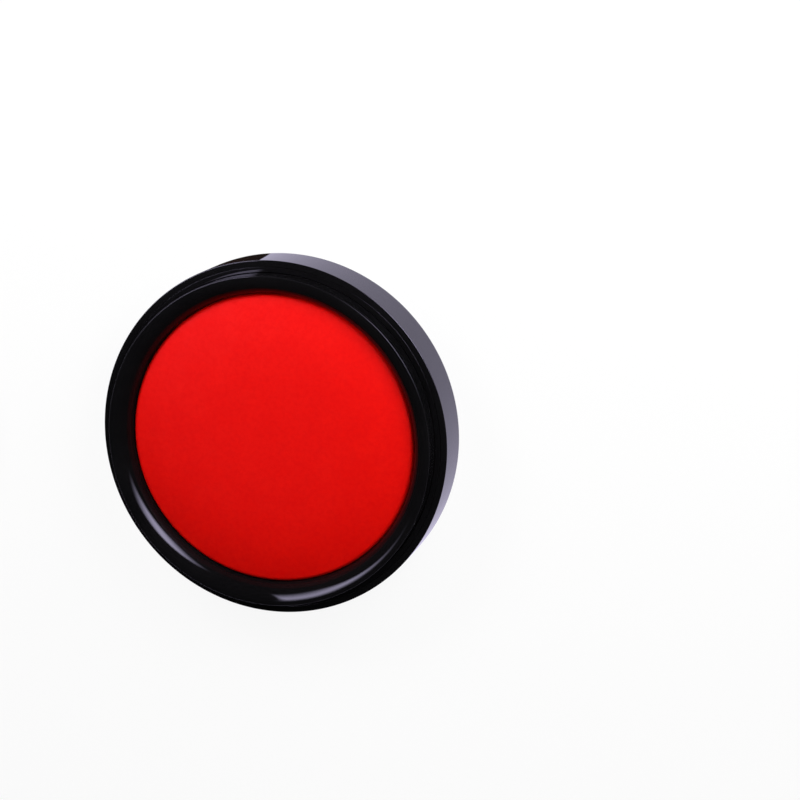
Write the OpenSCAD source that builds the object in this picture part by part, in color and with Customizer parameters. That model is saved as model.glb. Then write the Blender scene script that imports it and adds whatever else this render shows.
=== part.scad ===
/* [Case] */
// How much smaller the outer radius is at a moulding's closed end
draft = 0.3; // [0:0.05:0.6]
// Height of the base's outer wall, from the table to the shoulder
base_h = 12.6; // [11:0.1:30]
// Thickness of the shell's wall round the cup, which is the shoulder's outer part
shell_wall = 1.6; // [1.2:0.1:2.4]
// Thickness of the base shell's floor
shell_floor = 1.6; // [1:0.1:2]
// Radius of the rounded edge at the foot of the base
foot_round = 1; // [0.4:0.1:1.6]
// Radius of the small round on the shoulder's outer edge
shoulder_round = 0.15; // [0.05:0.05:0.4]
// How far the underside is hollowed above the foot ring
foot_rise = 0.8; // [0.3:0.1:1.2]
// Width of the foot ring's flat contact face
foot_w = 3; // [2:0.1:8]

/* [Inner cup] */
// Wall thickness of the cup, whose top is the shoulder's inner part
cup_wall = 1.25; // [0.8:0.05:2]
// Thickness of the cup's floor
cup_floor = 1.4; // [0.8:0.1:2]
// Radius on the cup's outer bottom corner
cup_corner = 1; // [0.9:0.1:2]

/* [Pad ring] */
// Width of the ring, from the pad's edge to the cup
ring_w = 4.8; // [4.8:0.1:10]
// Thickness of the ring's walls
ring_wall = 1.2; // [0.8:0.1:1.4]
// How far the ring's crest stands above the shoulder, to carry the lid
crest_rise = 4.7; // [4.3:0.1:8]
// Radius of the crest's outer edge
crest_round = 0.2; // [0.1:0.05:0.3]
// Radius of the roll from the crest down towards the pad
roll_round = 4.5; // [3:0.1:4.5]
// How far the ring's inner skirt stays above the cup's floor
skirt_lift = 1.4; // [0.5:0.1:3]

/* [Pad] */
// Diameter of the pad
pad_d = 70; // [50:0.5:100]
// How far the pad's rim lies below the crest
pad_sink = 3.8; // [3.6:0.1:5]
// How far the pad's middle stands above its rim
pad_crown = 2; // [0.2:0.1:2.5]
// Radius of the pad's rounded edge
pad_round = 1.2; // [0.7:0.1:2.4]
// Thickness of the cloth
cloth_t = 0.3; // [0.2:0.05:0.5]
// Width of the hem turned in under the pad
hem_w = 6; // [3:0.5:12]
// Thickness of the stiff disc under the felt
backing_t = 0.8; // [0.5:0.1:1.2]
// Thickness of the felt
felt_t = 3; // [1:0.1:3.5]

/* [Lid] */
// Height of the lid, from the shoulder to its top
lid_h = 10; // [9:0.1:20]
// Thickness of the lid's top
lid_top = 1.8; // [1.4:0.1:2.4]
// Radius of the rounded edge round the lid's top
lid_round = 2.2; // [0.8:0.1:3]
// Width of the chamfer that leads the lid onto the ring
lead_in = 0.3; // [0.1:0.05:0.5]
// Thickness of the sealing rib inside the lid
rib_w = 1; // [0.6:0.1:1.4]
// How far the sealing rib's outer face lies inside the ring's outer face
rib_inset = 0.8; // [0.3:0.1:1.5]
// Thickness of the soft liner
liner_t = 1; // [0.5:0.1:1.4]
// Diameter of the label plate
label_d = 60; // [40:1:64]
// Thickness of the label plate
label_t = 0.3; // [0.1:0.05:0.4]
// Depth of the recess that holds the label plate
label_recess = 0.5; // [0.4:0.05:0.8]
// Gap between the base and the lid lying beside it
off_gap = 36.2; // [10:0.1:80]

/* [Clearances] */
// Radial clearance of pieces that are pressed together
press_gap = 0.05; // [0.02:0.01:0.1]
// Radial clearance of the ring inside the cup
ring_gap = 0.1; // [0.05:0.05:0.2]
// Radial clearance of the lid's skirt over the ring
lid_gap = 0.15; // [0.1:0.05:0.3]
// Gap between the lid's skirt and the shoulder, and over the crest
seat_gap = 0.1; // [0.05:0.05:0.3]
// Gap between the pad's side and the ring
pad_gap = 0.15; // [0.1:0.05:0.4]

/* [Hidden] */

// Inner corner of the base shell
shell_corner = 0.8;
// Slope of the foot ring's inner side
foot_slope = 0.8;
// Depth of the lip below the pad's rim
lip_depth = 0.5;
// Steps in the outline of the pad's crown
crown_steps = 24;

// The radii build up outwards, from the pad to the case
pad_r = pad_d / 2;
lip_r = pad_r + pad_gap;
ring_r = lip_r + ring_w;
cup_bore_r = ring_r + ring_gap;
cup_r = cup_bore_r + cup_wall;
shell_bore_r = cup_r + press_gap;
case_r = cup_r + shell_wall;
shell_floor_z = foot_rise + shell_floor;
cup_floor_z = shell_floor_z + cup_floor;
crest_z = base_h + crest_rise;
foot_out_r = case_r - draft;

pad_rim_z = crest_z - pad_sink;
lip_z = pad_rim_z - lip_depth;
// The roll is an arc from the crest that ends where it is tangent to the face down to the lip
roll_c = [ring_r - crest_round, crest_z - roll_round];
lip_to_c = roll_c - [lip_r, lip_z];
face_turn = atan2(lip_to_c.y, lip_to_c.x) + asin(roll_round / norm(lip_to_c));

closed_h = base_h + lid_h;
lid_bore_r = ring_r + lid_gap;
ceiling_z = closed_h - lid_top;
rib_out_r = ring_r - rib_inset;
rib_in_r = rib_out_r - rib_w;
label_r = label_d / 2;
label_z = closed_h - label_recess;
// Distance of the base's axis, and of the lid's, from the line halfway between them
half_x = case_r + off_gap / 2;

$fn = 180;

// Points along an arc from angle a0 to a1
function arc(c, r, a0, a1, n = 8) =
    [for (i = [0:n]) c + r * [cos(a0 + (a1 - a0) * i / n), sin(a0 + (a1 - a0) * i / n)]];

function reversed(points) = [for (i = [len(points) - 1:-1:0]) points[i]];

// Outline of the crowned pad from its middle to the foot of its side, moved in by inset.
// The crown falls with the fourth power of the radius, flat in its middle and steeper towards the
// edge, and meets the small arc that rounds the edge at the slope that both have there.
function pad_outline(inset) =
    let (
        edge = [pad_r - pad_round, pad_rim_z - pad_round],
        turn = atan(4 * pad_crown / edge.x),
        reach = edge.x + pad_round * sin(turn),
        fall = tan(turn) / (4 * pow(reach, 3)),
        top_z = edge.y + pad_round * cos(turn) + fall * pow(reach, 4)
    )
    concat(
        [for (i = [0:crown_steps - 1])
            let (r = reach * i / crown_steps, slope = atan(4 * fall * pow(r, 3)))
            [r - inset * sin(slope), top_z - fall * pow(r, 4) - inset * cos(slope)]],
        arc(edge, pad_round - inset, 90 - turn, 0, 8)
    );

module turned(points) {
    rotate_extrude() polygon(points);
}

// Stands a piece of the base in its place, on the +X side
module stood() {
    translate([half_x, 0, 0]) children();
}

// Turns a piece of the closed lid over to where it lies upside down, on the -X side
module laid_off() {
    translate([-half_x, 0, closed_h]) rotate([0, 180, 0]) children();
}

module base_shell() {
    color([0.03, 0.03, 0.035])
    stood()
    turned(concat(
        [
            [0, foot_rise],
            [foot_out_r - foot_round - foot_w - foot_slope, foot_rise],
            [foot_out_r - foot_round - foot_w, 0]
        ],
        arc([foot_out_r - foot_round, foot_round], foot_round, -90, 0),
        arc([case_r - shoulder_round, base_h - shoulder_round], shoulder_round, 0, 90, 4),
        [[shell_bore_r, base_h]],
        arc([shell_bore_r - shell_corner, shell_floor_z + shell_corner], shell_corner, 0, -90),
        [[0, shell_floor_z]]
    ));
}

module inner_cup() {
    color([0.05, 0.05, 0.055])
    stood()
    turned(concat(
        [[0, shell_floor_z]],
        arc([cup_r - cup_corner, shell_floor_z + cup_corner], cup_corner, -90, 0),
        [
            [cup_r, base_h],
            [cup_bore_r, base_h],
            [cup_bore_r, cup_floor_z],
            [0, cup_floor_z]
        ]
    ));
}

// Hollow moulding: its outer skirt stands on the cup's floor, its inner one holds the pad's side
module pad_ring() {
    skirt_z = cup_floor_z + skirt_lift;
    channel_in = lip_r + ring_wall;
    channel_out = ring_r - ring_wall;
    // The channel's roof runs ring_wall under the roll and the face
    roof_round = roll_round - ring_wall;
    roof_turn = asin((roll_c.x - channel_out) / roof_round);
    roof_end = roll_c + roof_round * [-sin(face_turn), cos(face_turn)];
    color([0.04, 0.04, 0.045])
    stood()
    turned(concat(
        [[channel_out, cup_floor_z], [ring_r, cup_floor_z]],
        arc(roll_c + [0, roll_round - crest_round], crest_round, 0, 90, 4),
        arc(roll_c, roll_round, 90, 90 + face_turn, 12),
        [
            [lip_r, lip_z],
            [lip_r, skirt_z],
            [channel_in, skirt_z],
            [channel_in, roof_end.y - (roof_end.x - channel_in) * tan(face_turn)]
        ],
        arc(roll_c, roof_round, 90 + face_turn, 90 + roof_turn)
    ));
}

module pad_cloth() {
    color([0.84, 0.08, 0.05])
    stood()
    turned(concat(
        pad_outline(0),
        [
            [pad_r, cup_floor_z],
            [pad_r - hem_w, cup_floor_z],
            [pad_r - hem_w, cup_floor_z + cloth_t],
            [pad_r - cloth_t, cup_floor_z + cloth_t]
        ],
        reversed(pad_outline(cloth_t))
    ));
}

module ink_sponge() {
    color([0.62, 0.05, 0.04])
    stood()
    turned(concat(
        pad_outline(cloth_t + press_gap),
        [
            [pad_r - cloth_t - press_gap, cup_floor_z + cloth_t + backing_t + felt_t],
            [0, cup_floor_z + cloth_t + backing_t + felt_t]
        ]
    ));
}

module ink_felt() {
    color([0.5, 0.04, 0.035])
    stood()
    translate([0, 0, cup_floor_z + cloth_t + backing_t])
    cylinder(r = pad_r - cloth_t - press_gap, h = felt_t);
}

module backing_disc() {
    color([0.85, 0.84, 0.8])
    stood()
    translate([0, 0, cup_floor_z + cloth_t])
    cylinder(r = pad_r - cloth_t - press_gap, h = backing_t);
}

module lid_shell() {
    color([0.03, 0.03, 0.035])
    laid_off()
    turned(concat(
        [
            [lid_bore_r + lead_in, base_h + seat_gap],
            [case_r - shoulder_round, base_h + seat_gap],
            [case_r, base_h + seat_gap + shoulder_round]
        ],
        arc([case_r - draft - lid_round, closed_h - lid_round], lid_round, 0, 90, 10),
        [
            [label_r + press_gap, closed_h],
            [label_r + press_gap, label_z],
            [0, label_z],
            [0, ceiling_z],
            [rib_in_r, ceiling_z],
            [rib_in_r, crest_z + seat_gap],
            [rib_out_r, crest_z + seat_gap],
            [rib_out_r, ceiling_z],
            [lid_bore_r, ceiling_z],
            [lid_bore_r, base_h + seat_gap + lead_in]
        ]
    ));
}

module lid_liner() {
    color([0.9, 0.9, 0.88])
    laid_off()
    translate([0, 0, ceiling_z - liner_t])
    cylinder(r = rib_in_r - press_gap, h = liner_t);
}

module lid_label() {
    color([0.7, 0.1, 0.08])
    laid_off()
    translate([0, 0, label_z])
    cylinder(r = label_r, h = label_t);
}

base_shell();
inner_cup();
pad_ring();
pad_cloth();
ink_sponge();
ink_felt();
backing_disc();
lid_shell();
lid_liner();
lid_label();
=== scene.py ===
"""Looks of a round seal paste box: a glossy case, its vermilion pad, and its lid lying beside it.

Every length is in metres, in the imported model's frame: the table is z = 0, the base stands on the
+X side and the lid lies upside down on the -X side.
"""

import logging
import math
from dataclasses import dataclass, field, replace
from enum import Enum

import bpy
from mathutils import Matrix, Vector


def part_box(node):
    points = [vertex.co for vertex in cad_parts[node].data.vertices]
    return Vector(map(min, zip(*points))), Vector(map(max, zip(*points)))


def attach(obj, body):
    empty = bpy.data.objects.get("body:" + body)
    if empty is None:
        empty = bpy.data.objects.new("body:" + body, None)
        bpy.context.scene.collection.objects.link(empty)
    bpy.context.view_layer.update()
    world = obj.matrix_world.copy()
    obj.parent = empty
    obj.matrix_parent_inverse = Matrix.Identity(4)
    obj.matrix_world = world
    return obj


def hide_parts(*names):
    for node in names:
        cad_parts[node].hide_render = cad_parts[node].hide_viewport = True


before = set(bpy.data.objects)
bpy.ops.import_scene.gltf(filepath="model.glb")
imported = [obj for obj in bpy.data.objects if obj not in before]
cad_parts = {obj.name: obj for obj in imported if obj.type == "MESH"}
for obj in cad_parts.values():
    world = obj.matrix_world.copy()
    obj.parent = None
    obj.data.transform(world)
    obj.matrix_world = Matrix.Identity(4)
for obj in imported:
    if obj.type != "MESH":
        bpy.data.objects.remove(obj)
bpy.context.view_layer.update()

MM = 0.001
LATHE_STEPS = 256
# Two points closer than this are one point
SAME_POINT = 0.002 * MM
# An edge that turns by more than this many degrees is sharp, and gets eased
SHARP_TURN = 35
# How strongly the large flat faces hold the shading of their edges
FLAT_HOLD = 80
# A wave texture turns through this many radians in one unit of length, at a scale of 1
WAVE_RATE = 20
WHITE = (1.0, 1.0, 1.0, 1.0)

Point = tuple[float, float]
Place = tuple[float, float, float]
Colour = tuple[float, float, float]

log = logging.getLogger("seal_paste_box")


class Body(Enum):
    """The bodies that the pieces ride on."""

    BASE = "base"
    LID = "lid"


class Slot(Enum):
    """The names of the material slots."""

    CASE = "case_plastic"
    CLOTH = "pasted_cloth"
    SPONGE = "inked_sponge"
    FELT = "inked_felt"
    BACKING = "backing_plastic"
    FOAM = "liner_foam"
    LABEL = "label_paper"


class Shows(Enum):
    """What a lamp lights: the matt surfaces or the mirror gloss."""

    MATT = "matt"
    MIRRORED = "mirrored"


def arc(centre: Point, radius: float, start: float, end: float, steps: int = 12) -> list[Point]:
    """Points along a round stretch of an outline.

    Args:
        centre: The arc's centre, as its distance from the axis and its height.
        radius: The arc's radius.
        start: The angle of its first point in degrees, where 0 points outwards and 90 up.
        end: The angle of its last point.
        steps: How many straight steps it takes.

    Returns:
        The points, the first and the last included.
    """
    turns = [math.radians(start + (end - start) * i / steps) for i in range(steps + 1)]
    return [(centre[0] + radius * math.cos(t), centre[1] + radius * math.sin(t)) for t in turns]


class Lathe:
    """Turns half sections into round pieces, and finishes their edges."""

    @staticmethod
    def start(name: str, at: Point) -> bpy.types.Object:
        """Starts a profile as one point.

        Args:
            name: The new piece's name.
            at: The point's distance from the axis and its height.

        Returns:
            The new object, in edit mode.
        """
        bpy.ops.object.select_all(action="DESELECT")
        bpy.ops.mesh.primitive_plane_add(size=MM, enter_editmode=True)
        piece = bpy.context.object
        piece.name = name
        piece.data.name = name
        bpy.ops.mesh.select_all(action="SELECT")
        bpy.ops.mesh.merge(type="CENTER")
        bpy.ops.transform.translate(value=(at[0], 0, at[1]))
        return piece

    @staticmethod
    def turn(name: str, outline: list[Point], axis_x: float, closed: bool) -> bpy.types.Object:
        """Spins an outline about an upright axis.

        Args:
            name: The new piece's name.
            outline: The half section's points, in order.
            axis_x: Where the axis stands along X.
            closed: Whether the last point joins the first one.

        Returns:
            The piece, in object mode, with its place in its mesh and its faces outwards.
        """
        piece = Lathe.start(name, outline[0])
        for (r0, z0), (r1, z1) in zip(outline, outline[1:]):
            step = {"value": (r1 - r0, 0, z1 - z0)}
            bpy.ops.mesh.extrude_region_move(TRANSFORM_OT_translate=step)
        bpy.ops.mesh.select_all(action="SELECT")
        if closed:
            Lathe.join_ends(piece)
        bpy.ops.mesh.spin(steps=LATHE_STEPS, angle=math.tau, center=(0, 0, 0), axis=(0, 0, 1))
        bpy.ops.mesh.select_all(action="SELECT")
        bpy.ops.mesh.remove_doubles(threshold=SAME_POINT)
        bpy.ops.mesh.normals_make_consistent(inside=False)
        bpy.ops.transform.translate(value=(axis_x, 0, 0))
        bpy.ops.object.mode_set(mode="OBJECT")
        return piece

    @staticmethod
    def join_ends(piece: bpy.types.Object) -> None:
        """Joins the profile's two loose ends with an edge, and leaves all of it selected."""
        bpy.ops.mesh.select_all(action="DESELECT")
        bpy.ops.mesh.select_mode(type="VERT")
        bpy.ops.object.mode_set(mode="OBJECT")
        piece.data.vertices[0].select = True
        piece.data.vertices[len(piece.data.vertices) - 1].select = True
        bpy.ops.object.mode_set(mode="EDIT")
        bpy.ops.mesh.edge_face_add()
        bpy.ops.mesh.select_all(action="SELECT")

    @staticmethod
    def ease_edges(piece: bpy.types.Object, width: float, segments: int) -> None:
        """Rounds every sharp edge a little, as a mould leaves it."""
        bevel = piece.modifiers.new("eased_edges", "BEVEL")
        bevel.width = width
        bevel.segments = segments
        bevel.limit_method = "ANGLE"
        bevel.angle_limit = math.radians(SHARP_TURN)
        Lathe.apply(piece, bevel)

    @staticmethod
    def smooth(piece: bpy.types.Object) -> None:
        """Shades the piece smooth, with its flat faces kept flat."""
        for face in piece.data.polygons:
            face.use_smooth = True
        weighted = piece.modifiers.new("flat_faces_flat", "WEIGHTED_NORMAL")
        weighted.weight = FLAT_HOLD
        Lathe.apply(piece, weighted)

    @staticmethod
    def apply(piece: bpy.types.Object, modifier: bpy.types.Modifier) -> None:
        """Applies one modifier to a piece."""
        bpy.ops.object.select_all(action="DESELECT")
        piece.select_set(True)
        bpy.context.view_layer.objects.active = piece
        bpy.ops.object.modifier_apply(modifier=modifier.name)

    @staticmethod
    def solid(
        name: str, outline: list[Point], axis_x: float, eased: float, segments: int = 2, closed: bool = False
    ) -> bpy.types.Object:
        """Turns a solid piece, and rounds and shades its edges.

        Args:
            name: The new piece's name.
            outline: The half section's points, in order.
            axis_x: Where the axis stands along X.
            eased: How far the sharp edges are rounded.
            segments: How many faces the rounding of an edge takes.
            closed: Whether the last point joins the first one.

        Returns:
            The finished piece.
        """
        piece = Lathe.turn(name, outline, axis_x, closed)
        Lathe.ease_edges(piece, eased, segments)
        Lathe.smooth(piece)
        return piece

    @staticmethod
    def disc(name: str, node: str, axis_x: float, eased: float, segments: int = 2) -> bpy.types.Object:
        """Turns a plain disc of a CAD node's size.

        Args:
            name: The new piece's name.
            node: The CAD node that gives the disc's radius and heights.
            axis_x: Where the axis stands along X.
            eased: How far its edges are rounded.
            segments: How many faces the rounding of an edge takes.

        Returns:
            The finished disc.
        """
        low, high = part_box(node)
        radius = high.x - axis_x
        outline = [(0.0, low.z), (radius, low.z), (radius, high.z), (0.0, high.z)]
        return Lathe.solid(name, outline, axis_x, eased, segments)


class NodeTree:
    """A tree of shader nodes, with short calls for the nodes that the finishes and lamps share."""

    def __init__(self, tree: bpy.types.NodeTree) -> None:
        """Takes over a tree."""
        self.tree = tree

    def node(self, kind: str, inputs: dict | None = None, **settings: object) -> bpy.types.Node:
        """Adds a node.

        Args:
            kind: The node's type name, without its ShaderNode prefix.
            inputs: What each input socket gets: a value, or another node's output.
            settings: The node's own settings.

        Returns:
            The new node.
        """
        made = self.tree.nodes.new("ShaderNode" + kind)
        for key, value in settings.items():
            setattr(made, key, value)
        for key, value in (inputs or {}).items():
            if isinstance(value, bpy.types.NodeSocket):
                self.tree.links.new(value, made.inputs[key])
            else:
                made.inputs[key].default_value = value
        return made

    def spread(self, value, low: float, high: float, to_low: float = 0.0, to_high: float = 1.0):
        """Maps a range of a value onto another range, softly; returns the new value's socket."""
        made = self.node(
            "MapRange",
            {"Value": value, "From Min": low, "From Max": high, "To Min": to_low, "To Max": to_high},
            interpolation_type="SMOOTHSTEP",
        )
        return made.outputs["Result"]

    def math(self, operation: str, first, second=0.0):
        """One calculation with two values; returns its socket."""
        return self.node("Math", {0: first, 1: second}, operation=operation).outputs[0]


class Graph(NodeTree):
    """A material's nodes, with the calls that the finishes share."""

    def __init__(self, name: str) -> None:
        """Starts a new material with its usual shader."""
        self.material = bpy.data.materials.new(name)
        self.material.use_nodes = True
        super().__init__(self.material.node_tree)
        self.shader = self.tree.nodes["Principled BSDF"]

    def place(self, centre: Place = (0, 0, 0), turn: float = 0.0, squeeze: Place = (1, 1, 1)):
        """Object coordinates, centred, turned about Z and squeezed.

        Args:
            centre: The point that becomes the pattern's own origin.
            turn: The angle in degrees.
            squeeze: The scale along each axis.

        Returns:
            The socket that carries the coordinates.
        """
        here = self.node("TexCoord").outputs["Object"]
        centred = self.node("VectorMath", {0: here, 1: centre}, operation="SUBTRACT")
        turned = self.node(
            "Mapping",
            {"Vector": centred.outputs[0], "Rotation": (0, 0, math.radians(turn)), "Scale": squeeze},
        )
        return turned.outputs["Vector"]

    def blend(self, share, first, second):
        """Mixes two colours by a share.

        Args:
            share: How much of the second colour shows, from 0 to 1.
            first: The first colour, or a socket.
            second: The second colour, or a socket.

        Returns:
            The mixed colour's socket.
        """
        made = self.node("Mix", {"Factor": share}, data_type="RGBA")
        for key, colour in (("A", first), ("B", second)):
            into = [s for s in made.inputs if s.name == key and s.type == "RGBA"][0]
            if isinstance(colour, bpy.types.NodeSocket):
                self.tree.links.new(colour, into)
            else:
                into.default_value = (*colour, 1.0)
        return [s for s in made.outputs if s.type == "RGBA"][0]

    def bump(self, height, depth: float, strength: float = 1.0, under=None):
        """A bump of the given depth, on top of another one; returns the normal's socket."""
        inputs = {"Height": height, "Distance": depth, "Strength": strength}
        if under is not None:
            inputs["Normal"] = under
        return self.node("Bump", inputs).outputs["Normal"]

    def shade(self, **links: object) -> None:
        """Links sockets to the shader, or sets constants on it, by its inputs' names in lower case."""
        for key, value in links.items():
            name = {s.name.lower().replace(" ", "_"): s for s in self.shader.inputs}[key]
            if isinstance(value, bpy.types.NodeSocket):
                self.tree.links.new(value, name)
            else:
                name.default_value = value


@dataclass(frozen=True)
class Mottle:
    """A cloudy pattern: its blobs' size, its fineness and roughness, and the levels that it fades between."""

    size: float
    detail: float = 3.0
    rough: float = 0.5
    low: float = 0.3
    high: float = 0.7

    def plain(self, g: Graph, vector):
        """The pattern as it comes; returns its value socket."""
        made = g.node(
            "TexNoise",
            {"Vector": vector, "Scale": 1 / self.size, "Detail": self.detail, "Roughness": self.rough},
        )
        return made.outputs["Fac"]

    def faded(self, g: Graph, vector, to_low: float = 0.0, to_high: float = 1.0):
        """The pattern stretched from its two levels onto a range; returns the new value's socket."""
        return g.spread(self.plain(g, vector), self.low, self.high, to_low, to_high)


@dataclass(frozen=True)
class GlossPlastic:
    """High gloss black moulding: deep and even, with faint wiping marks and a flow ripple."""

    colour: Colour = (0.0036, 0.0034, 0.0040)
    dusty: Colour = (0.0050, 0.0047, 0.0055)
    gloss: float = 0.035
    dull: float = 0.085
    ior: float = 1.46
    shine: float = 0.08
    haze: Mottle = Mottle(24 * MM, detail=4.0, rough=0.6, low=0.42, high=0.7)
    wiping: Mottle = Mottle(1.4 * MM, low=0.5, high=0.78)
    wiping_turn: float = 35.0
    wiping_stretch: Place = (1.0, 0.12, 1.0)
    most_marked: float = 0.8
    flow: Mottle = Mottle(9 * MM, detail=1.0)
    ripple: float = 0.004 * MM

    def material(self, name: str, centre: Place) -> bpy.types.Material:
        """Builds the material.

        Args:
            name: The material's name.
            centre: The middle of the piece, which its patterns are laid out from.

        Returns:
            The material.
        """
        g = Graph(name)
        here = g.place(centre)
        haze = self.haze.faded(g, here)
        wiped = self.wiping.faded(g, g.place(centre, self.wiping_turn, self.wiping_stretch))
        marks = g.math("MULTIPLY", haze, wiped)
        g.shade(
            base_color=g.blend(haze, self.colour, self.dusty),
            roughness=g.spread(marks, 0.0, self.most_marked, self.gloss, self.dull),
            ior=self.ior,
            specular_ior_level=self.shine,
            normal=g.bump(self.flow.plain(g, here), self.ripple),
        )
        return g.material


@dataclass(frozen=True)
class PastedCloth:
    """Fine plain weave soaked with vermilion paste, which fills it unevenly."""

    colour: Colour = (0.85, 0.0042, 0.0018)
    thin: Colour = (0.87, 0.0052, 0.0023)
    thick: Colour = (0.775, 0.0002, 0.0001)
    thread: float = 0.34 * MM
    thread_waver: float = 0.6
    warp_turn: float = 14.0
    weave_depth: float = 0.018 * MM
    patches: Mottle = Mottle(8 * MM, detail=5.0, rough=0.6, low=0.36, high=0.66)
    grain: Mottle = Mottle(1.1 * MM, detail=4.0, rough=0.72)
    filling: Mottle = replace(grain, low=0.35)
    filled_share: float = 0.5
    fibres: Mottle = Mottle(0.6 * MM, rough=0.65)
    fibre_depth: float = 0.03 * MM
    rough: float = 0.5
    rough_spread: float = 0.1
    shine: float = 0.016

    def material(self, name: str, centre: Place) -> bpy.types.Material:
        """Builds the material; its arguments and result are as GlossPlastic's."""
        g = Graph(name)
        here = g.place(centre)
        warp = self.threads(g, g.place(centre, self.warp_turn))
        weft = self.threads(g, g.place(centre, self.warp_turn + 90))
        woven = g.bump(g.math("MULTIPLY", warp, weft), self.weave_depth)
        soaked = g.blend(self.patches.faded(g, here), self.colour, self.thin)
        filled = g.math("MULTIPLY", self.filling.faded(g, here), self.filled_share)
        matt, slick = self.rough + self.rough_spread, self.rough - self.rough_spread
        g.shade(
            base_color=g.blend(filled, soaked, self.thick),
            roughness=self.grain.faded(g, here, slick, matt),
            specular_ior_level=self.shine,
            normal=g.bump(self.fibres.plain(g, here), self.fibre_depth, under=woven),
        )
        return g.material

    def threads(self, g: Graph, vector):
        """One direction of the weave, from 0 between threads to 1 on them."""
        made = g.node(
            "TexWave",
            {"Vector": vector, "Scale": math.tau / (WAVE_RATE * self.thread), "Distortion": self.thread_waver,
             "Detail": 1.0, "Detail Scale": 0.4},
            wave_type="BANDS",
            bands_direction="X",
        )
        return made.outputs["Fac"]


@dataclass(frozen=True)
class SoakedFoam:
    """Open foam or felt full of paste, with pores or fibres at its surface, whose middles are painted darker
    as painted shade in the hollows.
    """

    colour: Colour
    # The darker colour: painted shade in the pores, and the tone of the less soaked patches
    dark: Colour
    pore: float
    depth: float
    rough: float = 0.75
    wet_gloss: float = 0.2
    wet: Mottle = Mottle(7 * MM, detail=4.0, low=0.35, high=0.65)
    pore_core: float = 0.12
    pore_rim: float = 0.5
    shine: float = 0.3

    def material(self, name: str, centre: Place) -> bpy.types.Material:
        """Builds the material; its arguments and result are as GlossPlastic's."""
        g = Graph(name)
        here = g.place(centre)
        cells = g.node("TexVoronoi", {"Vector": here, "Scale": 1 / self.pore}).outputs["Distance"]
        # Painted shade: the pores' middles fade to the darker colour; the same pattern makes the bump
        holes = g.spread(cells, self.pore_core, self.pore_rim)
        soaked = self.wet.faded(g, here)
        g.shade(
            base_color=g.blend(g.math("MULTIPLY", holes, soaked), self.dark, self.colour),
            roughness=g.spread(soaked, 0, 1, self.rough, self.rough - self.wet_gloss),
            specular_ior_level=self.shine,
            normal=g.bump(holes, self.depth),
        )
        return g.material


@dataclass(frozen=True)
class SheetStock:
    """Plain sheet, board or paper with a fine grain, such as the liner, the board or the plate."""

    colour: Colour
    shade: Colour
    grain: float
    depth: float
    rough: float
    shine: float = 0.4
    cloudy: Mottle = Mottle(11 * MM, detail=5.0, rough=0.6, high=0.72)
    rough_spread: float = 0.07

    def material(self, name: str, centre: Place) -> bpy.types.Material:
        """Builds the material; its arguments and result are as GlossPlastic's."""
        g = Graph(name)
        here = g.place(centre)
        fine = Mottle(self.grain, detail=2.0, rough=0.6)
        g.shade(
            base_color=g.blend(self.cloudy.faded(g, here), self.colour, self.shade),
            roughness=fine.faded(g, here, self.rough - self.rough_spread, self.rough + self.rough_spread),
            specular_ior_level=self.shine,
            normal=g.bump(fine.plain(g, here), self.depth),
        )
        return g.material


def dress(piece: bpy.types.Object, material: bpy.types.Material) -> None:
    """Gives a piece its one material."""
    piece.data.materials.clear()
    piece.data.materials.append(material)


def stand_for(piece: bpy.types.Object, node: str, body: Body) -> None:
    """Puts a new piece in a CAD node's place, on the node's body."""
    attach(piece, body.value)
    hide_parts(node)
    low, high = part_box(node)
    dg = bpy.context.evaluated_depsgraph_get()
    corners = [Vector(c) for c in piece.evaluated_get(dg).bound_box]
    out = max(max(low[i] - min(c[i] for c in corners), max(c[i] for c in corners) - high[i])
              for i in range(3))
    log.info("%s stands for %s, %.3f mm outside its box", piece.name, node, max(out, 0) / MM)


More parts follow.
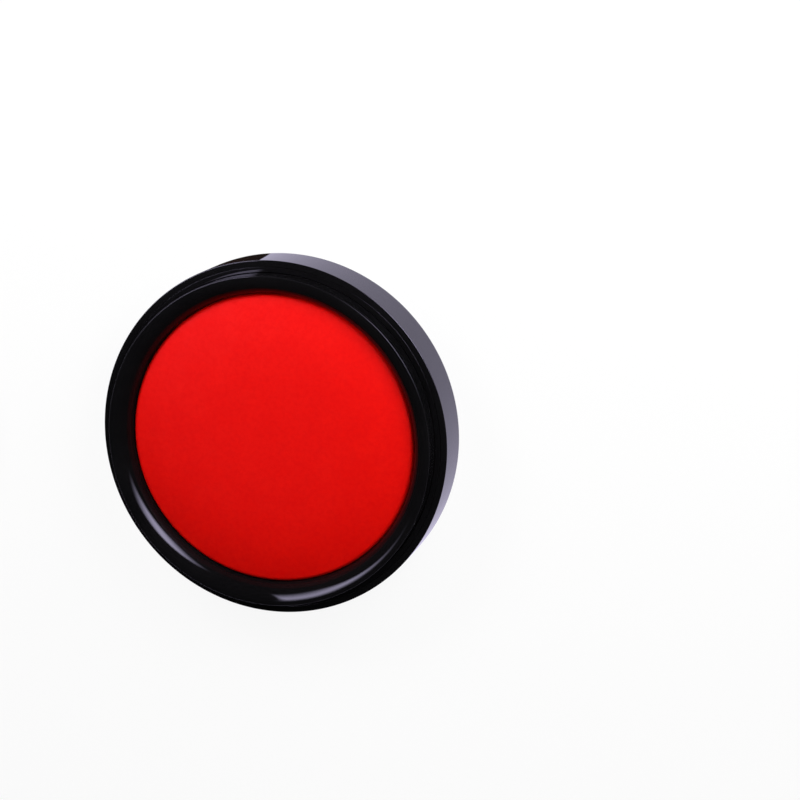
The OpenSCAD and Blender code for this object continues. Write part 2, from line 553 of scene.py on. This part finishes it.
@dataclass
class Case:
    """The base's three black mouldings: the shell, the cup pressed into it and the ring in that."""

    shell_wall: float = 1.55 * MM
    shell_floor: float = 2.4 * MM
    shell_corner: float = 0.8 * MM
    draft: float = 0.3 * MM
    shoulder_round: float = 0.15 * MM
    foot_rise: float = 0.8 * MM
    foot_round: float = 1.0 * MM
    foot_width: float = 3.0 * MM
    foot_slope: float = 0.8 * MM
    gate_r: float = 1.5 * MM
    gate_depth: float = 0.3 * MM
    cup_wall: float = 1.25 * MM
    cup_corner: float = 1.0 * MM
    cup_floor: float = 1.4 * MM
    crest_round: float = 0.2 * MM
    roll_round: float = 4.5 * MM
    ring_wall: float = 1.2 * MM
    lip_gap: float = 0.15 * MM
    lip_depth: float = 4.3 * MM
    skirt_lift: float = 1.4 * MM
    eased: float = 0.06 * MM
    finish: GlossPlastic = GlossPlastic()
    wall_finish: GlossPlastic = GlossPlastic(shine=0.2)

    def __post_init__(self) -> None:
        """Reads the radii and heights that the frame gives."""
        low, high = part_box("base_shell")
        self.axis_x = (low.x + high.x) / 2
        self.case_r = (high.x - low.x) / 2
        self.base_h = high.z
        self.cup_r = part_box("inner_cup")[1].x - self.axis_x
        self.ring_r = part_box("pad_ring")[1].x - self.axis_x
        self.crest_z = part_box("pad_ring")[1].z
        self.ring_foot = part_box("pad_ring")[0].z
        self.lip_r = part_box("pad_cloth")[1].x - self.axis_x + self.lip_gap

    def shell_outline(self) -> list[Point]:
        """The outer shell, from the middle of its underside round to the middle of its floor."""
        foot_out = self.case_r - self.draft
        land = foot_out - self.foot_round - self.foot_width
        bore = self.case_r - self.shell_wall
        return [
            (0.0, self.foot_rise + self.gate_depth),
            (self.gate_r, self.foot_rise + self.gate_depth),
            (self.gate_r, self.foot_rise),
            (land - self.foot_slope, self.foot_rise),
            (land, 0.0),
            *arc((foot_out - self.foot_round, self.foot_round), self.foot_round, -90, 0, steps=14),
            *arc((self.case_r - self.shoulder_round, self.base_h - self.shoulder_round),
                 self.shoulder_round, 0, 90, steps=5),
            (bore, self.base_h),
            *arc((bore - self.shell_corner, self.shell_floor + self.shell_corner),
                 self.shell_corner, 0, -90, steps=6),
            (0.0, self.shell_floor),
        ]

    def cup_outline(self) -> list[Point]:
        """The cup, whose rim is flush with the shell's shoulder."""
        bottom = self.shell_floor
        bore = self.cup_r - self.cup_wall
        return [
            (0.0, bottom),
            *arc((self.cup_r - self.cup_corner, bottom + self.cup_corner),
                 self.cup_corner, -90, 0, steps=6),
            (self.cup_r, self.base_h),
            (bore, self.base_h),
            (bore, bottom + self.cup_floor),
            (0.0, bottom + self.cup_floor),
        ]

    def ring_outline(self) -> list[Point]:
        """The ring: a straight outer wall, a crest, a wide roll, and a steep face down to the pad."""
        roll = (self.ring_r - self.crest_round, self.crest_z - self.roll_round)
        crest = (roll[0], self.crest_z - self.crest_round)
        lip_z = self.crest_z - self.lip_depth
        run, rise = roll[0] - self.lip_r, roll[1] - lip_z
        turn = math.degrees(math.atan2(rise, run) + math.asin(self.roll_round / math.hypot(run, rise)))
        inside, outside = self.lip_r + self.ring_wall, self.ring_r - self.ring_wall
        roof = self.roll_round - self.ring_wall
        under_end = 90 + math.degrees(math.asin((roll[0] - outside) / roof))
        under = arc(roll, roof, 90 + turn, under_end, steps=14)
        drop = (under[0][0] - inside) * math.tan(math.radians(turn))
        return [
            (outside, self.ring_foot),
            (self.ring_r, self.ring_foot),
            *arc(crest, self.crest_round, 0, 90, steps=8),
            *arc(roll, self.roll_round, 90, 90 + turn, steps=28)[1:],
            (self.lip_r, lip_z),
            (self.lip_r, self.ring_foot + self.skirt_lift),
            (inside, self.ring_foot + self.skirt_lift),
            (inside, under[0][1] - drop),
            *under,
        ]

    def build(self) -> None:
        """Turns the three mouldings and dresses them."""
        plan = (
            ("case_shell", "base_shell", self.shell_outline(), False, self.wall_finish),
            ("case_cup", "inner_cup", self.cup_outline(), False, self.finish),
            ("case_ring", "pad_ring", self.ring_outline(), True, self.finish),
        )
        for name, node, outline, closed, finish in plan:
            piece = Lathe.solid(name, outline, self.axis_x, self.eased, closed=closed)
            dress(piece, finish.material(name + "_black", (self.axis_x, 0, 0)))
            stand_for(piece, node, Body.BASE)


@dataclass
class Pad:
    """The pad that drops into the ring: its cover, the sponge, the felt and the stiff disc."""

    edge_round: float = 1.2 * MM
    crown: float = 2.0 * MM
    crown_steps: int = 40
    cloth: float = 0.3 * MM
    hem: float = 6.0 * MM
    fit: float = 0.05 * MM
    cover_cut: float = 100.4 * MM
    hem_steps: int = 6
    sponge_edge: float = 0.4 * MM
    felt_edge: float = 0.35 * MM
    soft_segments: int = 3
    cover_finish: PastedCloth = PastedCloth()
    sponge_finish: SoakedFoam = SoakedFoam(
        colour=(0.62, 0.012, 0.008), dark=(0.30, 0.004, 0.003), pore=0.5 * MM, depth=0.08 * MM)
    felt_finish: SoakedFoam = SoakedFoam(
        colour=(0.50, 0.010, 0.007), dark=(0.26, 0.004, 0.003), pore=0.25 * MM, depth=0.04 * MM, rough=0.9)
    board_finish: SheetStock = SheetStock(
        colour=(0.85, 0.84, 0.80), shade=(0.72, 0.62, 0.56), grain=0.6 * MM, depth=0.01 * MM, rough=0.5)

    def __post_init__(self) -> None:
        """Reads the radii and heights that the frame gives."""
        low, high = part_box("pad_cloth")
        self.axis_x = (low.x + high.x) / 2
        self.centre = (self.axis_x, 0.0, 0.0)
        self.pad_r = (high.x - low.x) / 2
        self.foot_z = low.z
        self.top_z = high.z
        self.sponge_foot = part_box("ink_sponge")[0].z

    def dome(self, inset: float) -> list[Point]:
        """The crowned pad's outline, from its middle to its side.

        The crown falls with the fourth power of the distance from the axis, so the pad is nearly flat
        in its middle. It runs without a kink into the rounded edge.

        Args:
            inset: How far inside the cover's outer face it runs.

        Returns:
            The points, which end where the straight side begins.
        """
        edge = self.pad_r - self.edge_round
        turn = math.atan(4 * self.crown / edge)
        reach = edge + self.edge_round * math.sin(turn)
        fall = math.tan(turn) / (4 * reach**3)
        edge_z = self.top_z - fall * reach**4 - self.edge_round * math.cos(turn)
        crown = []
        for i in range(self.crown_steps):
            r = reach * i / self.crown_steps
            slope = math.atan(4 * fall * r**3)
            crown.append((r - inset * math.sin(slope), self.top_z - fall * r**4 - inset * math.cos(slope)))
        return [*crown, *arc((edge, edge_z), self.edge_round - inset, 90 - math.degrees(turn), 0)]

    def cover(self) -> bpy.types.Object:
        """Makes the cloth cover: one sheet over the top, down the side and in under the disc."""
        outline = [
            *self.dome(0.0),
            (self.pad_r, self.foot_z + self.cloth),
            *arc((self.pad_r - self.cloth, self.foot_z + self.cloth), self.cloth, 0, -90, steps=5)[1:],
            *[(self.pad_r - self.hem * (i + 1) / self.hem_steps, self.foot_z) for i in range(self.hem_steps)],
        ]
        piece = Lathe.turn("pad_cover", outline, self.axis_x, False)
        wall = piece.modifiers.new("cloth_thickness", "SOLIDIFY")
        wall.thickness = self.cloth
        wall.offset = -1.0
        Lathe.apply(piece, wall)
        Lathe.smooth(piece)
        return piece

    def sponge(self) -> bpy.types.Object:
        """Makes the sponge, crowned under the cover and flat where it lies on the felt."""
        inset = self.cloth + self.fit
        outline = [*self.dome(inset), (self.pad_r - inset, self.sponge_foot), (0.0, self.sponge_foot)]
        return Lathe.solid("pad_sponge", outline, self.axis_x, self.sponge_edge, self.soft_segments)

    def build(self) -> None:
        """Makes the pad's pieces and dresses them."""
        cover, sponge = self.cover(), self.sponge()
        felt = Lathe.disc("pad_felt", "ink_felt", self.axis_x, self.felt_edge, self.soft_segments)
        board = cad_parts["backing_disc"]
        dress(cover, self.cover_finish.material("vermilion_cloth", self.centre))
        dress(sponge, self.sponge_finish.material("soaked_sponge", self.centre))
        dress(felt, self.felt_finish.material("soaked_felt", self.centre))
        dress(board, self.board_finish.material("stiff_board", self.centre))
        stand_for(cover, "pad_cloth", Body.BASE)
        stand_for(sponge, "ink_sponge", Body.BASE)
        stand_for(felt, "ink_felt", Body.BASE)


@dataclass
class Lid:
    """The push-on lid, upside down beside the base: its moulding, its soft liner and its bare plate."""

    case_draft: float = 0.3 * MM
    bore_gap: float = 0.15 * MM
    top_round: float = 2.2 * MM
    mouth_round: float = 0.15 * MM
    lead_in: float = 0.3 * MM
    top_wall: float = 1.8 * MM
    rib_width: float = 1.0 * MM
    rib_inset: float = 0.8 * MM
    rib_drop: float = 3.4 * MM
    recess: float = 0.5 * MM
    fit: float = 0.05 * MM
    eased: float = 0.06 * MM
    finish: GlossPlastic = GlossPlastic()
    foam_edge: float = 0.2 * MM
    plate_edge: float = 0.05 * MM
    foam_finish: SheetStock = SheetStock(
        colour=(0.90, 0.90, 0.88), shade=(0.88, 0.86, 0.84), grain=0.35 * MM, depth=0.03 * MM, rough=0.7,
        shine=0.2)
    plate_finish: SheetStock = SheetStock(
        colour=(0.52, 0.012, 0.008), shade=(0.44, 0.010, 0.007), grain=0.5 * MM, depth=0.004 * MM, rough=0.36)

    def __post_init__(self) -> None:
        """Reads the radii and heights that the frame gives."""
        low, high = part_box("lid_shell")
        self.axis_x = (low.x + high.x) / 2
        self.centre = (self.axis_x, 0.0, 0.0)
        self.case_r = (high.x - low.x) / 2
        self.height = high.z
        self.bore_r = (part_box("pad_ring")[1].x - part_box("pad_ring")[0].x) / 2 + self.bore_gap
        self.plate_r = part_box("lid_label")[1].x - self.axis_x

    def outline(self) -> list[Point]:
        """The lid's half section as it lies, with its mouth up and its top on the table."""
        mouth = self.height
        rib_out = self.bore_r - self.bore_gap - self.rib_inset
        rib_in = rib_out - self.rib_width
        top_r = self.case_r - self.case_draft - self.top_round
        seat_r = self.plate_r + self.fit
        return [
            (0.0, self.recess),
            (seat_r, self.recess),
            (seat_r, 0.0),
            *arc((top_r, self.top_round), self.top_round, -90, 0, steps=18),
            *arc((self.case_r - self.mouth_round, mouth - self.mouth_round),
                 self.mouth_round, 0, 90, steps=5),
            (self.bore_r + self.lead_in, mouth),
            (self.bore_r, mouth - self.lead_in),
            (self.bore_r, self.top_wall),
            (rib_out, self.top_wall),
            (rib_out, self.top_wall + self.rib_drop),
            (rib_in, self.top_wall + self.rib_drop),
            (rib_in, self.top_wall),
            (0.0, self.top_wall),
        ]

    def build(self) -> None:
        """Turns the lid's three pieces and dresses them."""
        moulding = Lathe.solid("lid_moulding", self.outline(), self.axis_x, self.eased)
        foam = Lathe.disc("lid_foam", "lid_liner", self.axis_x, self.foam_edge)
        plate = Lathe.disc("lid_plate", "lid_label", self.axis_x, self.plate_edge)
        dress(moulding, self.finish.material("lid_black", self.centre))
        dress(foam, self.foam_finish.material("liner_foam", self.centre))
        dress(plate, self.plate_finish.material("plate_red", self.centre))
        stand_for(moulding, "lid_shell", Body.LID)
        stand_for(foam, "lid_liner", Body.LID)
        stand_for(plate, "lid_label", Body.LID)


@dataclass(frozen=True)
class Softbox:
    """A flat lamp that faces the pad and fades out towards its sides, as a cloth front does.

    Its plane is square to its direction. The shift is measured level and upwards in that plane, and
    the sides from there, along the lamp's own two ways once it is turned.
    """

    name: str
    towards: Place
    distance: float
    radiance: float
    shows: Shows
    sides: tuple[float, float, float, float]
    fades: tuple[float, float, float, float]
    shift: Point
    turn: float
    tint: Colour = (1.0, 1.0, 1.0)

    def light(self, target: Vector) -> None:
        """Hangs the lamp.

        Args:
            target: The middle of the pad, which the lamp's direction starts from.
        """
        facing = Vector(self.towards).normalized()
        level = Vector((0, 0, 1)).cross(facing).normalized()
        spin = Matrix.Rotation(math.radians(self.turn), 3, facing)
        across, upward = spin @ level, spin @ facing.cross(level)
        x0, x1, y0, y1 = self.reach()
        hub = target + facing * self.distance + level * self.shift[0] + facing.cross(level) * self.shift[1]
        centre = hub + across * (x0 + x1) / 2 + upward * (y0 + y1) / 2
        lamp = bpy.data.lights.new(self.name, "AREA")
        lamp.shape = "RECTANGLE"
        lamp.size, lamp.size_y = x1 - x0, y1 - y0
        lamp.energy = self.radiance * math.pi * lamp.size * lamp.size_y
        lamp.color = self.tint
        self.fade_out(lamp)
        hung = bpy.data.objects.new(self.name, lamp)
        bpy.context.scene.collection.objects.link(hung)
        hung.matrix_world = Matrix.Translation(centre) @ Matrix(
            (across, upward, facing)).transposed().to_4x4()
        hung.visible_camera = False
        hung.visible_diffuse = self.shows is not Shows.MIRRORED
        hung.visible_glossy = self.shows is not Shows.MATT

    def reach(self) -> tuple[float, float, float, float]:
        """Where the fades end, which is where the lamp's plane ends."""
        x0, x1, y0, y1 = self.sides
        f0, f1, g0, g1 = self.fades
        return x0 - f0, x1 + f1, y0 - g0, y1 + g1

    def fade_out(self, lamp: bpy.types.AreaLight) -> None:
        """Makes the lamp's light fall softly at its four sides."""
        lamp.use_nodes = True
        g = NodeTree(lamp.node_tree)
        spot = g.node("NewGeometry").outputs["Parametric"]
        ways = g.node("SeparateXYZ", {0: spot}).outputs
        x0, x1, y0, y1 = self.reach()
        share = 1.0
        for way, low, high, fades in ((ways[0], x0, x1, self.fades[:2]), (ways[1], y0, y1, self.fades[2:])):
            near, far = (2 * fade / (high - low) for fade in fades)
            share = g.math("MULTIPLY", share, g.spread(way, 0.0, near))
            share = g.math("MULTIPLY", share, g.spread(way, 1.0 - far, 1.0, 1.0, 0.0))
        emitted = g.tree.nodes["Emission"]
        g.tree.links.new(share, emitted.inputs["Strength"])


def studio_lamps() -> list[Softbox]:
    """The lamps: two that light the matt pad, and two that show as highlights in the glossy case.

    Returns:
        The lamps, of which the right-hand pair hang nearly in one place.
    """
    gleam_tint = (0.77, 0.71, 1.0)
    right = Softbox(
        name="right_softbox", towards=(0.629, 0.579, 0.519), distance=0.30, radiance=9.2, shows=Shows.MATT,
        sides=(-0.074, 0.084, -0.091, 0.093), fades=(0.053, 0.034, 0.095, 0.088), shift=(0.0005, 0.0127),
        turn=52.7)
    right_gleam = replace(
        right, name="right_gleam", distance=0.298, radiance=62.0, shows=Shows.MIRRORED, tint=gleam_tint)
    left_gleam = Softbox(
        name="left_gleam", towards=(-0.515, 0.247, 0.821), distance=0.40, radiance=52.0, shows=Shows.MIRRORED,
        sides=(-0.075, 0.085, -0.077, 0.063), fades=(0.144, 0.078, 0.036, 0.006), shift=(-0.0095, 0.0025),
        turn=32.7, tint=gleam_tint)
    top = Softbox(
        name="top_panel", towards=(-0.472, 0.604, 0.643), distance=0.25, radiance=11.3, shows=Shows.MATT,
        sides=(-0.067, 0.067, -0.038, 0.038), fades=(0.019,) * 4, shift=(0.0, 0.0), turn=0.0)
    return [right, right_gleam, left_gleam, top]


@dataclass
class Studio:
    """The pale floor, the dark card that paints a dark reflection, the soft lamps and the camera."""

    eye: Place = (0.28595, 0.1693, 0.6677)
    aim: Place = (0.09257, 0.01151, 0.013)
    lens: float = 135.0
    sensor: float = 36.0
    floor_size: float = 6.0
    floor_colour: Colour = (0.8, 0.8, 0.8)
    glow: float = 0.92
    # A violet tint that the floor has only in reflections: a painted reflection colour for the case's glossy
    # wall
    mirrored_floor: Colour = (0.88, 0.82, 1.1)
    room: float = 0.06
    pad_middle: Place = (0.061, 0.0, 0.0145)
    # The dark card: a painted dark reflection in the base's glossy wall
    card_corner: Place = (0.05654, 0.04247, 0.00005)
    card_end: Place = (-0.0054, 0.0025, 0.0)
    card_side: Place = (-0.030, -0.014, 0.0)
    card_colour: Colour = (0.02, 0.012, 0.01)
    card_rough: float = 0.9
    lamps: list[Softbox] = field(default_factory=studio_lamps)

    def floor(self) -> None:
        """Lays the floor, which is white to the camera and keeps the object's shadow, and which shows a
        painted violet tint in reflections only.
        """
        bpy.ops.object.select_all(action="DESELECT")
        bpy.ops.mesh.primitive_plane_add(size=self.floor_size)
        ground = bpy.context.object
        ground.name = "floor"
        g = Graph("pale_floor")
        rays = g.node("LightPath").outputs
        seen = g.math("MAXIMUM", rays["Is Camera Ray"], rays["Is Glossy Ray"])
        seen = g.math("MAXIMUM", seen, rays["Is Transmission Ray"])
        # Painted reflection: glossy rays see the floor tinted violet, the camera sees it white
        pale = g.blend(rays["Is Glossy Ray"], WHITE[:3], self.mirrored_floor)
        plain = g.node("BsdfDiffuse", {"Color": (*self.floor_colour, 1)})
        dim = [c * (1 - self.glow) / self.floor_colour[0] for c in self.floor_colour]
        lit = g.node("BsdfDiffuse", {"Color": (*dim, 1)})
        glow = g.node("Emission", {"Color": pale, "Strength": self.glow})
        white = g.node("AddShader", {0: lit.outputs[0], 1: glow.outputs[0]})
        mixed = g.node("MixShader", {0: seen, 1: plain.outputs[0], 2: white.outputs[0]})
        g.tree.links.new(mixed.outputs[0], g.tree.nodes["Material Output"].inputs["Surface"])
        ground.data.materials.append(g.material)

    def dark_card(self) -> None:
        """Lays a narrow dark card at the base's foot, which only shows mirrored in its glossy wall: a painted
        dark reflection, which the camera, the diffuse light and the shadows don't see.
        """
        card = Lathe.start("dark_card", (self.card_corner[0], self.card_corner[2]))
        bpy.ops.transform.translate(value=(0, self.card_corner[1], 0))
        for side in (self.card_end, self.card_side):
            bpy.ops.mesh.select_all(action="SELECT")
            bpy.ops.mesh.extrude_region_move(TRANSFORM_OT_translate={"value": side})
        bpy.ops.object.mode_set(mode="OBJECT")
        g = Graph("card_black")
        g.shade(base_color=(*self.card_colour, 1.0), roughness=self.card_rough, specular_ior_level=0.0)
        card.data.materials.append(g.material)
        card.visible_camera = card.visible_diffuse = card.visible_shadow = False

    def world(self) -> None:
        """Fills the room with a dim even light."""
        world = bpy.data.worlds.new("dim_room")
        world.use_nodes = True
        world.node_tree.nodes["Background"].inputs["Color"].default_value = WHITE
        world.node_tree.nodes["Background"].inputs["Strength"].default_value = self.room
        bpy.context.scene.world = world

    def camera(self) -> None:
        """Stands the camera where the photograph was taken from, with +Y up in its picture."""
        data = bpy.data.cameras.new("photo_camera")
        data.lens = self.lens
        data.sensor_width = self.sensor
        camera = bpy.data.objects.new("photo_camera", data)
        bpy.context.scene.collection.objects.link(camera)
        back = (Vector(self.eye) - Vector(self.aim)).normalized()
        right = Vector((0, 1, 0)).cross(back).normalized()
        turned = Matrix((right, back.cross(right), back)).transposed().to_4x4()
        camera.matrix_world = Matrix.Translation(self.eye) @ turned
        bpy.context.scene.camera = camera

    def build(self) -> None:
        """Sets up the whole studio."""
        self.camera()
        self.floor()
        self.dark_card()
        self.world()
        for lamp in self.lamps:
            lamp.light(Vector(self.pad_middle))
        bpy.context.scene.view_settings.view_transform = "Standard"


def main() -> None:
    """Builds the studio and the box's sub-assemblies, and reports them."""
    logging.basicConfig(level=logging.INFO, format="%(name)s: %(message)s")
    Studio().build()
    for assembly in (Case(), Pad(), Lid()):
        assembly.build()
        log.info("%s is built", type(assembly).__name__)


if __name__ == "__main__":
    main()
